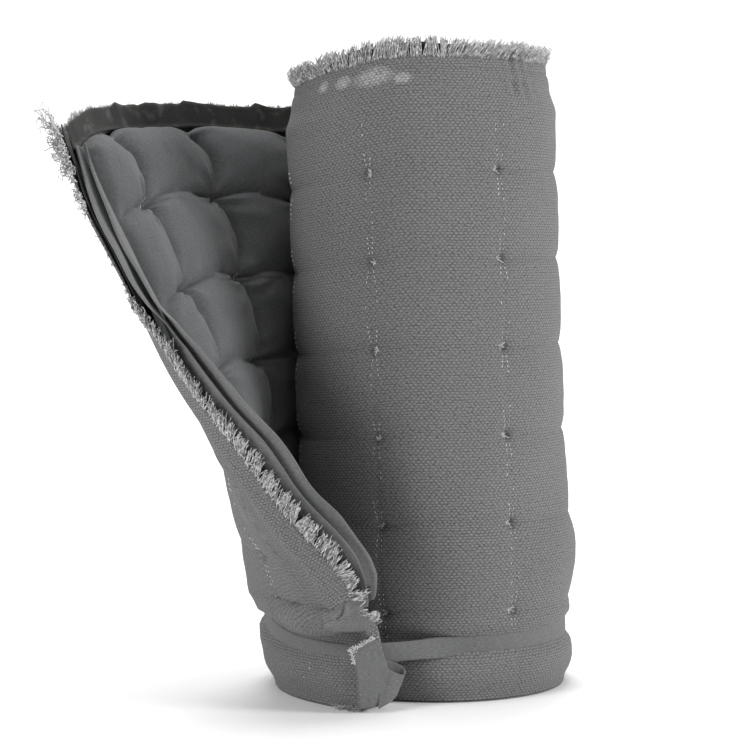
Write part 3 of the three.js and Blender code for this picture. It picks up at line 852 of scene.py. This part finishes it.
def lining_top():
    u = OUTER.length[:, None]
    share = np.linspace(0, 1, 9)[None]
    on_roll = 34 + 2.0 * ripple(31, u, 0, 60)
    on_flap = 27 + 0.9 * ripple(33, u, 0, 45) + 4.0 * pleats(u)
    top = on_roll + (on_flap - on_roll) * flap_share(u)
    fold = np.minimum(1.6 * ripple(32, u, 0, 30) + 1.0 - 3.0 * pleats(u), 1.4)
    height = share * top
    inside = BORDER_OFFSET - LINING_DEPTH - 1.0 - TOP_SLANT * height
    grid = over_seam(height, inside * smooth(share / 0.15) + fold * share)
    normals = np.repeat(OUTER.row(PAD_WIDTH)[3][:, None], share.size, 1)
    uv = cloth_uv(u, share * 34)
    return sheet_mesh("lining_top_cloth", grid, normals, LINING, uv, LINING_SHADE_AND_LIGHT)


def end_sheet(name, lines, first, heights, thickness, material, *laid):
    w, grid, normal, _, _ = end_points(lines, first, heights, *laid)
    along = np.array([np.mean(reach) for reach, _ in lines])
    uv = cloth_uv(OUTER.length[-1] + along[:, None], w[None])
    return sheet_mesh(name, grid, normal, thickness, uv, material)


def end_widths(first, heights):
    w = end_rows(heights)[0]
    return w[w >= first]


def from_gap(reach, share):
    """Place between the gap at the seam and a reach beyond it."""
    return END_GAP + (reach - END_GAP) * share


def end_pieces():
    """Border, lining and the two narrow facings of the free end."""
    rise = np.linspace(4, BORDER, 5)
    lines = [(from_gap(END_BORDER, s), 0) for s in np.linspace(0, 1, 10)]
    border = end_sheet("border_end_cloth", lines, 0, rise, CLOTH, COARSE)
    w = end_widths(LINING_FIRST, rise)
    reach = from_table(LINING_REACH, w) + 2 * ripple(44, w, 0, 40)
    fold = 1.0 + ripple(43, w, 0, 50)
    lines = [(from_gap(reach, s), LINING_DEPTH + fold * s) for s in np.linspace(0, 1, 12)]
    lining = end_sheet("lining_end_cloth", lines, LINING_FIRST, rise, LINING, LINING_SHADE_AND_LIGHT)
    w = end_widths(FACING_FIRST, ())
    wave_a = ripple(51, w, 0, 90)
    wave_b = ripple(52, w, 0, 60)
    far_a = from_table(FACING_REACH, w) + 3 * wave_a
    far_b = far_a * (1.3 - 0.68 * smooth((w - 420) / 60)) + 2.5 * wave_b
    lines_a = [
        (from_gap(far_a, s), 1.2 * math.sin(3 * s) * wave_b - 1.5 * smooth(8 * s - 7))
        for s in np.linspace(0, 1, 16)
    ]
    lines_b = [
        (from_gap(far_b, s), LINING_DEPTH + (4.5 + 1.5 * wave_a) * s - 2.0 * smooth(8 * s - 7))
        for s in np.linspace(0, 1, 12)
    ]
    laid = (FACING_FIRST, (), FACING, FACING_COTTON, from_table(FACING_START, w))
    turn = from_table(FACING_TURN, w)
    outer = end_sheet("facing_outer_strip", lines_a, *laid, turn)
    inner = end_sheet("facing_inner_strip", lines_b, *laid, turn)
    return (
        (border, "coarse", "border_end", (0.62, 0.023)),
        (lining, "lining", "lining_end", (0.56, 0.03)),
        (outer, "cotton", "facing_a", (0.53, 0.032)),
        (inner, "cotton", "facing_b", (0.53, 0.035)),
    )


def foot_border():
    """The lower border, folded flat inwards on the floor."""
    p, _, _, out = OUTER.row(0)
    fold = np.linspace(0, FOOT_FOLD, 5)
    grid = p[:, None] + out[:, None] * (BORDER_OFFSET - fold)[:, None]
    grid[..., 2] = FOOT_CLOTH / 2
    normals = np.broadcast_to([0.0, 0, 1], grid.shape)
    uv = cloth_uv(OUTER.length[:, None], fold[None])
    return sheet_mesh("border_foot_cloth", grid, normals, FOOT_CLOTH, uv, COTTON)


def core_border():
    """Border of the inner short end, curled into the core."""
    p, along, _, out = OUTER.end(0)
    reach = np.linspace(END_BORDER, SEAM_GAP, 5)[:, None, None]
    side = CORE_OFFSET - reach * math.sin(CORE_TURN)
    grid = p - along * reach * math.cos(CORE_TURN) + out * side
    uv = cloth_uv(-reach[..., 0], OUTER.widths[None])
    return sheet_mesh("border_core_cloth", grid, np.repeat(out[None], 5, 0), CLOTH, uv, COARSE)


around = OUTER.length[-1] * MM
for obj, slot, node, flat, held in (
    *((*row, "stretched") for row in end_pieces()),
    (border_top(), "coarse", "border_top", (around, (BORDER + 1) * MM), "stretched"),
    (lining_top(), "lining", "lining_top", (around, 0.033), "stretched"),
    (foot_border(), "coarse", "border_foot", (around, FOOT_FOLD * MM), "folded"),
    (core_border(), "coarse", "border_core", (0.6, 0.025), "stretched"),
):
    piece_of(obj, slot, node)


# ---- Fringes ----


def strands(name, root, frame_of, lengths, radius, seed, curl, material, scatter=(0.3, 0.16)):
    """Loose yarns from roots: each runs ahead, leans by chance and curls by the given share."""
    ahead, side, up = frame_of
    rng = np.random.default_rng(seed)
    count = len(root)
    t = np.linspace(0, 1, 7)[None, :, None]
    lean = rng.normal(0, scatter[0], (count, 1, 1))
    lift = rng.normal(0, scatter[1], (count, 1, 1))
    length = lengths[:, None, None]
    path = ahead[:, None] + lean * side[:, None] + lift * up[:, None]
    path = root[:, None] + unit(path) * t * length
    curl = np.broadcast_to(curl, (count,))[:, None, None]
    for axis, share in ((side, 1.0), (up, 0.7)):
        for wave in (1.0, 2.1):
            phase = rng.uniform(0, 2 * math.pi, (count, 1, 1))
            size = curl * length * rng.uniform(0.3, 1, (count, 1, 1)) / wave
            sway = np.sin(t * wave * 2 * math.pi * 0.8 + phase) - np.sin(phase)
            path = path + axis[:, None] * sway * size * share
    return thread_mesh(name, path, radius, material, 3)


def spread(values, places, positions):
    """Rows of values at positions along their places."""
    return np.stack([np.interp(positions, places, part) for part in np.asarray(values).T], -1)


def bundled(position, size, seed):
    """Each strand's bundle: the bundle's own chance number, and the way to its middle."""
    rng = np.random.default_rng(seed)
    place = position / size + 0.8 * ripple(seed, position, 0, 30)
    place = np.maximum.accumulate(place - place.min())
    number = np.floor(place).astype(int)
    chance = rng.normal(0, 1, number.max() + 1)
    return chance[number], 0.5 - (place - number)


def fringe_top():
    """Dense upright strands; they curl at the roll's left side and lean at its right, and
    are short above the loose layer."""
    rng = np.random.default_rng(61)
    edge = top_points(np.array([[BORDER]]), BORDER_OFFSET)[:, 0]
    _, along, up, out = OUTER.row(PAD_WIDTH)
    u = OUTER.length
    near = rng.uniform(0, 800, YARNS["top_hidden"])
    shown = rng.uniform(800, u[-1], YARNS["top"])
    position = np.sort(np.concatenate([near, shown]))
    root, along, up, out = (spread(v, u, position) for v in (edge, along, up, out))
    count = (len(root), 1)
    root = root + out * rng.uniform(-1.2, 1.4, count) - up * rng.uniform(0, 2.5, count)
    curls = bell(position - 890, 50)
    right = smooth((position - 1050) / 30) * smooth((1260 - position) / 60)
    flap = flap_share(position)
    chance, inwards = bundled(position, 7.0, 62)
    lean = 0.16 * chance * (1 + 2 * curls) + 0.45 * inwards + 1.0 * right
    ahead = unit(up + along * lean[:, None] + out * (0.12 - 0.1 * flap)[:, None])
    lengths = FRINGE * (1.02 + 0.08 * ripple(64, position, 0, 30)) * (1 - 0.5 * flap + 0.1 * right)
    lengths = lengths * rng.uniform(0.78, 1.1, len(root))
    curl = 0.05 + 0.17 * curls
    laid = (ahead, along, out)
    return strands("fringe_top_yarns", root, laid, lengths, 0.42, 65, curl, YARN, (0.14, 0.12))


def fringe_end():
    """Strands past the end border's edge, in lumpy bundles high up and even ones low down."""
    rng = np.random.default_rng(71)
    w, grid, normal, ahead, up = end_points([(END_BORDER, 0)], 66, (BORDER / 2, BORDER))
    position = np.sort(rng.uniform(w[0], w[-1], YARNS["end"]))
    share, length, curl, rise = spread(END_FRINGE[:, 1:], END_FRINGE[:, 0], position).T
    keep = rng.uniform(size=len(position)) < share
    position, length, curl, rise = (part[keep] for part in (position, length, curl, rise))
    root, normal, ahead, up = (spread(v[0], w, position) for v in (grid, normal, ahead, up))
    count = (len(root), 1)
    root = root + normal * rng.uniform(-0.9, 1.4, count) - ahead * rng.uniform(0, 2.5, count)
    chance, inwards = bundled(position, 8.0, 73)
    rise = rise + 0.2 * chance + 0.25 * inwards
    ahead = unit(ahead + up * rise[:, None] + normal * 0.15)
    lengths = length * (1 + 0.08 * chance) * rng.uniform(0.7, 1.08, len(root))
    laid = (ahead, up, normal)
    return strands("fringe_end_yarns", root, laid, lengths, 0.5, 74, curl, YARN, (0.12, 0.12))


def fringe_core():
    rng = np.random.default_rng(81)
    p, along, up, out = OUTER.end(0)
    w = OUTER.widths
    reach = END_BORDER + SEAM_GAP
    lead = -along * math.cos(CORE_TURN) - out * math.sin(CORE_TURN)
    edge = p + lead * reach + out * CORE_OFFSET
    position = np.sort(rng.uniform(w[0], w[-1], YARNS["core"]))
    root, lead, up, out = (spread(v, w, position) for v in (edge, lead, up, out))
    lengths = 15 * rng.uniform(0.6, 1.0, len(root))
    return strands("fringe_core_yarns", root, (lead, up, out), lengths, 0.5, 82, 0.12, YARN)


def fringe_foot():
    """The few strands that stick out from under the roll beside the free end."""
    rng = np.random.default_rng(91)
    p, along, _, out = OUTER.row(0)
    u = OUTER.length
    position = np.sort(rng.uniform(u[-1] - 30, u[-1] + 2, YARNS["foot"]))
    root, along, out = (spread(v, u, position) for v in (p, along, out))
    root = root + out * BORDER_OFFSET
    root[:, 2] = rng.uniform(1.0, 5.0, len(root))
    level = np.zeros_like(root)
    level[:, 2] = 0.12
    lengths = 11 * rng.uniform(0.5, 1.1, len(root))
    return strands("fringe_foot_yarns", root, (out, along, level), lengths, 0.45, 92, 0.14, YARN)


for yarns, node in (
    (fringe_top(), "fringe_top"),
    (fringe_end(), "fringe_end"),
    (fringe_core(), "fringe_core"),
    (fringe_foot(), "fringe_foot"),
):
    piece_of(yarns, "yarn", node)


# ---- Stitches and tufts ----


def surface_point(surface, column, width, distance):
    """Points off the centre surface, by bilinear steps between its grid places."""
    ci = np.interp(column, surface.columns, np.arange(len(surface.columns)))
    wj = np.interp(width, surface.widths, np.arange(len(surface.widths)))
    i = np.minimum(ci.astype(int), len(surface.columns) - 2)
    j = np.minimum(wj.astype(int), len(surface.widths) - 2)
    a, b = (ci - i)[..., None], (wj - j)[..., None]

    def mix(field):
        low = field[i, j] * (1 - a) + field[i + 1, j] * a
        high = field[i, j + 1] * (1 - a) + field[i + 1, j + 1] * a
        return low * (1 - b) + high * b

    return mix(surface.point) + mix(surface.out) * distance[..., None]


def outer_skin(column, width, lift):
    return surface_point(OUTER, column, width, outer_half(column, width) + lift)


def inner_skin(column, width, lift):
    return surface_point(INNER, column, width, -(inner_half(column, width) + lift))


def tufts(first):
    """Column and height of every tuft from one column on."""
    for k in range(first, TUFT_COLUMNS):
        for row in range(1, TUFT_ROWS + 1):
            yield k + 0.5, row * ROW_SPACING


def stitch_lines():
    """Two rows of small stitches that meet at each tuft and fade halfway between two."""
    rng = np.random.default_rng(101)
    t = np.linspace(-1.1, 1.1, 4)
    lift = np.array([-0.4, 0.3, 0.3, -0.4])
    columns, widths = [], []
    for k in range(FIRST_SHOWN, TUFT_COLUMNS):
        for row in range(TUFT_ROWS + 1):
            for side in (-1, 1):
                apart = rng.uniform(3.0, 4.6)
                sway = rng.uniform(-1.5, 1.5)
                low = row * ROW_SPACING + (9 if row else 24)
                high = (row + 1) * ROW_SPACING - (6 if row < TUFT_ROWS else 26)
                for at in np.arange(low, high, 4.8):
                    share = (at / ROW_SPACING) % 1
                    near = abs(share - 0.5) * 2
                    if rng.uniform() > 0.12 + 0.88 * smooth((near - 0.35) / 0.4):
                        continue
                    bow = math.sin(math.pi * share)
                    off = side * apart * bow**0.6 + sway * bow
                    columns.append(np.full(4, k + 0.5 + off / ROLLED_SPACING))
                    widths.append(at + t)
    path = outer_skin(np.array(columns), np.array(widths), lift[None])
    return thread_mesh("seam_stitches", path, 0.36, THREAD)


def tuft_knots():
    """A few crossed ends of white thread in each pit of the outer face."""
    rng = np.random.default_rng(102)
    t = np.linspace(-1, 1, 6)
    paths = []
    lift = 1.2 * (1 - t * t) + 0.1
    for column, height in tufts(FIRST_SHOWN):
        for _ in range(6):
            turn = rng.uniform(0, math.pi)
            reach = rng.uniform(1.4, 3.4)
            x = reach * np.cos(turn) * t + rng.uniform(-1.0, 1.0)
            z = reach * np.sin(turn) * t * 1.3 + rng.uniform(-1.2, 1.2)
            paths.append(outer_skin(column + x / ROLLED_SPACING, height + z, lift))
    return thread_mesh("tuft_knots", np.array(paths), 0.46, THREAD)


def inner_thread_ends():
    """Two loose ends of the tufting thread in each pit of the inner face."""
    rng = np.random.default_rng(103)
    t = np.linspace(0, 1, 6)
    paths = []
    lift = 0.6 + 1.6 * np.sin(math.pi * t)
    for column, height in tufts(FIRST_INSIDE):
        for side in (-1, 1):
            reach = rng.uniform(5, 11)
            x = side * (1 + 2.6 * t) + rng.uniform(-0.8, 0.8)
            paths.append(inner_skin(column + x / ROLLED_SPACING, height + reach * t, lift))
    return thread_mesh("tuft_thread_ends", np.array(paths), 0.3, THREAD)


for threads in (stitch_lines(), tuft_knots(), inner_thread_ends()):
    piece_of(threads, "yarn")


# ---- The tie ----


def tie_band():
    """The band's closed ring of cloth on the squeezed last turn, and the ring's length."""
    columns = OUTER.columns[OUTER.columns >= TIE_FIRST_COLUMN]
    height = tie_height(columns)
    i = np.searchsorted(OUTER.columns, columns)
    j = np.argmin(abs(OUTER.widths - height[:, None]), 1)
    lift = PUFF_HALF - TIE_SINK + TIE_STAND + low_swell(columns, height)
    line = OUTER.point[i, j] + OUTER.out[i, j] * lift[:, None]
    line = np.concatenate([line, line[:1]])
    line[:, 2] = np.append(height, height[-1])
    step = summed(np.linalg.norm(np.diff(line, axis=0), axis=-1))
    total = step[-1]
    u = np.linspace(0, total, TIE_STEPS + 1)[:-1]
    ring = np.roll(spread(line, step, u), -int(np.searchsorted(u, step[-2])), 0)
    for _ in range(30):
        ring = (np.roll(ring, -1, 0) + 2 * ring + np.roll(ring, 1, 0)) / 4
    ahead = unit((np.roll(ring, -1, 0) - np.roll(ring, 1, 0)) * [1, 1, 0])
    out = unit(np.cross(ahead, [0.0, 0, 1]))
    closed = smooth(np.minimum(u, total - u) / 40)
    front = 0.5 - 0.5 * ring[:, 1] / np.abs(ring[:, 1]).max()
    height = ring[:, 2] + (4 - 5 * front) + 0.8 * ripple(111, u, 0, 120) * closed
    s = np.linspace(-1, 1, 9)[None]
    half = 9.6 + 0.5 * ripple(112, u, 0, 60) * closed
    curl = 0.5 * (1 - abs(s)) + 0.35 * ripple(113, u[:, None], s * 8, 25) * closed[:, None]
    grid = ring[:, None] + out[:, None] * curl[..., None]
    grid[..., 2] = height[:, None] + s * half[:, None]
    normals = np.repeat(out[:, None], s.size, 1)
    uv = cloth_uv(u[:, None], s * 10)
    obj = sheet_mesh("tie_band_cloth", grid, normals, TIE_THICKNESS, uv, TAPE, ring=True)
    return obj, total


def knot_frame():
    """Place of the knot on the floor plan, the way along the tie and the way outwards."""
    p, _, _, out = OUTER.row((TIE_LOW + TIE_HIGH) / 2)
    line = p + out * (PUFF_HALF - TIE_SINK + TIE_CLEARANCE)
    start = line[np.searchsorted(OUTER.columns, TIE_FIRST_COLUMN)]
    across = unit((start - line[-1]) * [1, 1, 0])
    return line[-1] * [1, 1, 0], across, np.cross(across, [0, 0, 1])


def knot_cloth(name, rows, seed, thickness):
    """Cloth laid through the rows of its table, softened between them."""
    origin, across, outward = knot_frame()
    rows = np.array(rows, float)
    fine = np.linspace(0, len(rows) - 1, 8 * len(rows))
    table = spread(rows, np.arange(len(rows)), fine)
    for _ in range(5):
        table[1:-1] = (table[:-2] + 2 * table[1:-1] + table[2:]) / 4
    s = np.linspace(0, 1, 17)[None]
    left, right, low, high, near, far = (table[:, k : k + 1] for k in range(6))
    x = left + (right - left) * s
    z = low + (high - low) * s
    y = near + (far - near) * s
    y = y + 0.6 * ripple(seed, x, z, 18) + 0.3 * ripple(seed + 1, x, z, 7)
    x_way, y_way, z_way = (part[..., None] for part in (x, y, z))
    grid = origin + across * x_way + outward * y_way + np.array([0, 0, 1.0]) * z_way
    normal = unit(np.cross(np.gradient(grid, axis=0), np.gradient(grid, axis=1)))
    return grid, sheet_mesh(name, grid, normal, thickness, cloth_uv(x, z), TAPE)


# Cloth at the knot: left and right place along the tie, left and right height, left and right
# distance outwards. First the tail, from its lower end to its cut upper edge
TAIL_ROWS = (
    (-3, 17, 5, 6, 9, 10),
    (-4, 20, 15, 15, 11, 12),
    (-5, 23, 28, 28, 12.5, 14),
    (-6, 26, 40, 41, 13, 14.5),
    (-7, 24, 50, 52, 12, 13),
    (-8, 20, 57, 63, 11, 11),
    (-9, 16, 61, 71, 10.5, 9),
)
# The loop from behind the tail, round its fold at the right and back to the tail
LOOP_ROWS = (
    (10, 14, 10, 50, 3, 3),
    (22, 28, 12, 49, 3, 3),
    (32, 38, 18, 45.5, 3.5, 3.5),
    (38, 45, 22, 42, 5, 5),
    (39, 46.5, 22, 38, 8, 7.5),
    (36, 44, 17, 34, 11, 10.5),
    (30, 36, 12, 36.5, 13, 12),
    (23, 28, 8, 41, 14, 13),
    (15, 20, 4, 44, 13, 12.5),
)


def frayed_edge(grid):
    """Short white ends along the tail's cut upper edge and the top of its left edge."""
    rng = np.random.default_rng(141)
    edge = np.concatenate([grid[-1][::-1], grid[-22:-1, 0][::-1]])
    position = np.concatenate([rng.uniform(0, 17, 110), rng.uniform(17, len(edge) - 1, 40)])
    root = spread(edge, np.arange(len(edge)), position)
    _, across, outward = knot_frame()
    count = len(root)
    root = root + outward * rng.uniform(-1.2, 1.0, (count, 1))
    ahead = unit(np.array([0, 0, 1.0]) - across * 0.7 + outward * 0.15)
    laid = [np.tile(v, (count, 1)) for v in (ahead, across, outward)]
    lengths = rng.uniform(1.5, 6, count)
    return strands("tie_frayed_end", root, laid, lengths, 0.35, 142, 0.25, THREAD, (0.6, 0.4))


band, band_length = tie_band()
tail_grid, tail = knot_cloth("tie_tail_cloth", TAIL_ROWS, 121, 1.8)
_, loop = knot_cloth("tie_loop_cloth", LOOP_ROWS, 131, 1.6)
piece_of(band, "tape", "tie_band")
piece_of(tail, "tape", "tie_tail", "tie_knot")
piece_of(loop, "tape", "tie_loop")
piece_of(frayed_edge(tail_grid), "yarn")


# ---- Floor, light and camera ----


def studio():
    """One pale sweep: a floor that turns up into a wall far behind."""
    far, bend, half = 3.0, 2.5, 6.0
    turn = np.linspace(0, math.pi / 2, 25)
    y = np.concatenate([[-far], far + bend * np.sin(turn), [far + bend]])
    z = np.concatenate([[0], bend * (1 - np.cos(turn)), [half]])
    x = np.array([[-half], [half]])
    points = np.stack(np.broadcast_arrays(x, y, z), -1)
    n = Nodes("pale_floor", 0.9, 0.0)
    tone = n.noise(n.place(), 2.0, 2.0)
    color = n.ramp(tone, (0.0, grey(250)), (1.0, grey(252)))
    n.feed(n.shader, {"Base Color": color})
    make_mesh("floor", points, grid_quads(*points.shape[:2]), None, n.material)


def area_light(name, place, target, size, power):
    data = bpy.data.lights.new(name, "AREA")
    data.shape = "DISK"
    data.size = size
    data.energy = power
    lamp = bpy.data.objects.new(name, data)
    bpy.context.collection.objects.link(lamp)
    lamp.location = place
    lamp.rotation_euler = (Vector(target) - Vector(place)).to_track_quat("-Z", "Y").to_euler()


# Name, place, target and size in metres, and watts of each light
LIGHTS = (
    ("left_light", (-2.6, -2.3, 1.3), (0, 0, 0.3), 1.3, 70),
    ("right_light", (3.2, -0.9, 1.1), (0, 0, 0.25), 1.2, 92),
    ("top_light", (0, 0.2, 4.2), (0, 0.2, 0), 2.4, 70),
    ("back_light", (0, 3.0, 4.0), (0, 2.5, 0), 3.0, 120),
)
# The camera's place from the roll's axis and over the floor, in mm, its lens and its tilt
CAMERA = {"aside": 56.7, "back": 2300, "height": 437, "lens": 108.96, "tilt": 3.15}

studio()
for light in LIGHTS:
    area_light(*light)

world = bpy.data.worlds.new("studio_world")
world.use_nodes = True
world.node_tree.nodes["Background"].inputs["Color"].default_value = (1, 1, 1, 1)
world.node_tree.nodes["Background"].inputs["Strength"].default_value = 0.36
bpy.context.scene.world = world
bpy.context.scene.view_settings.view_transform = "Standard"

camera_data = bpy.data.cameras.new("camera")
camera_data.sensor_width = 36.0
camera_data.lens = CAMERA["lens"]
camera_data.clip_end = 50.0
camera = bpy.data.objects.new("camera", camera_data)
bpy.context.collection.objects.link(camera)
place = AXIS[0] - CAMERA["aside"], AXIS[1] - CAMERA["back"], CAMERA["height"]
camera.location = [side * MM for side in place]
camera.rotation_euler = (math.radians(90 - CAMERA["tilt"]), 0, 0)
bpy.context.scene.camera = camera
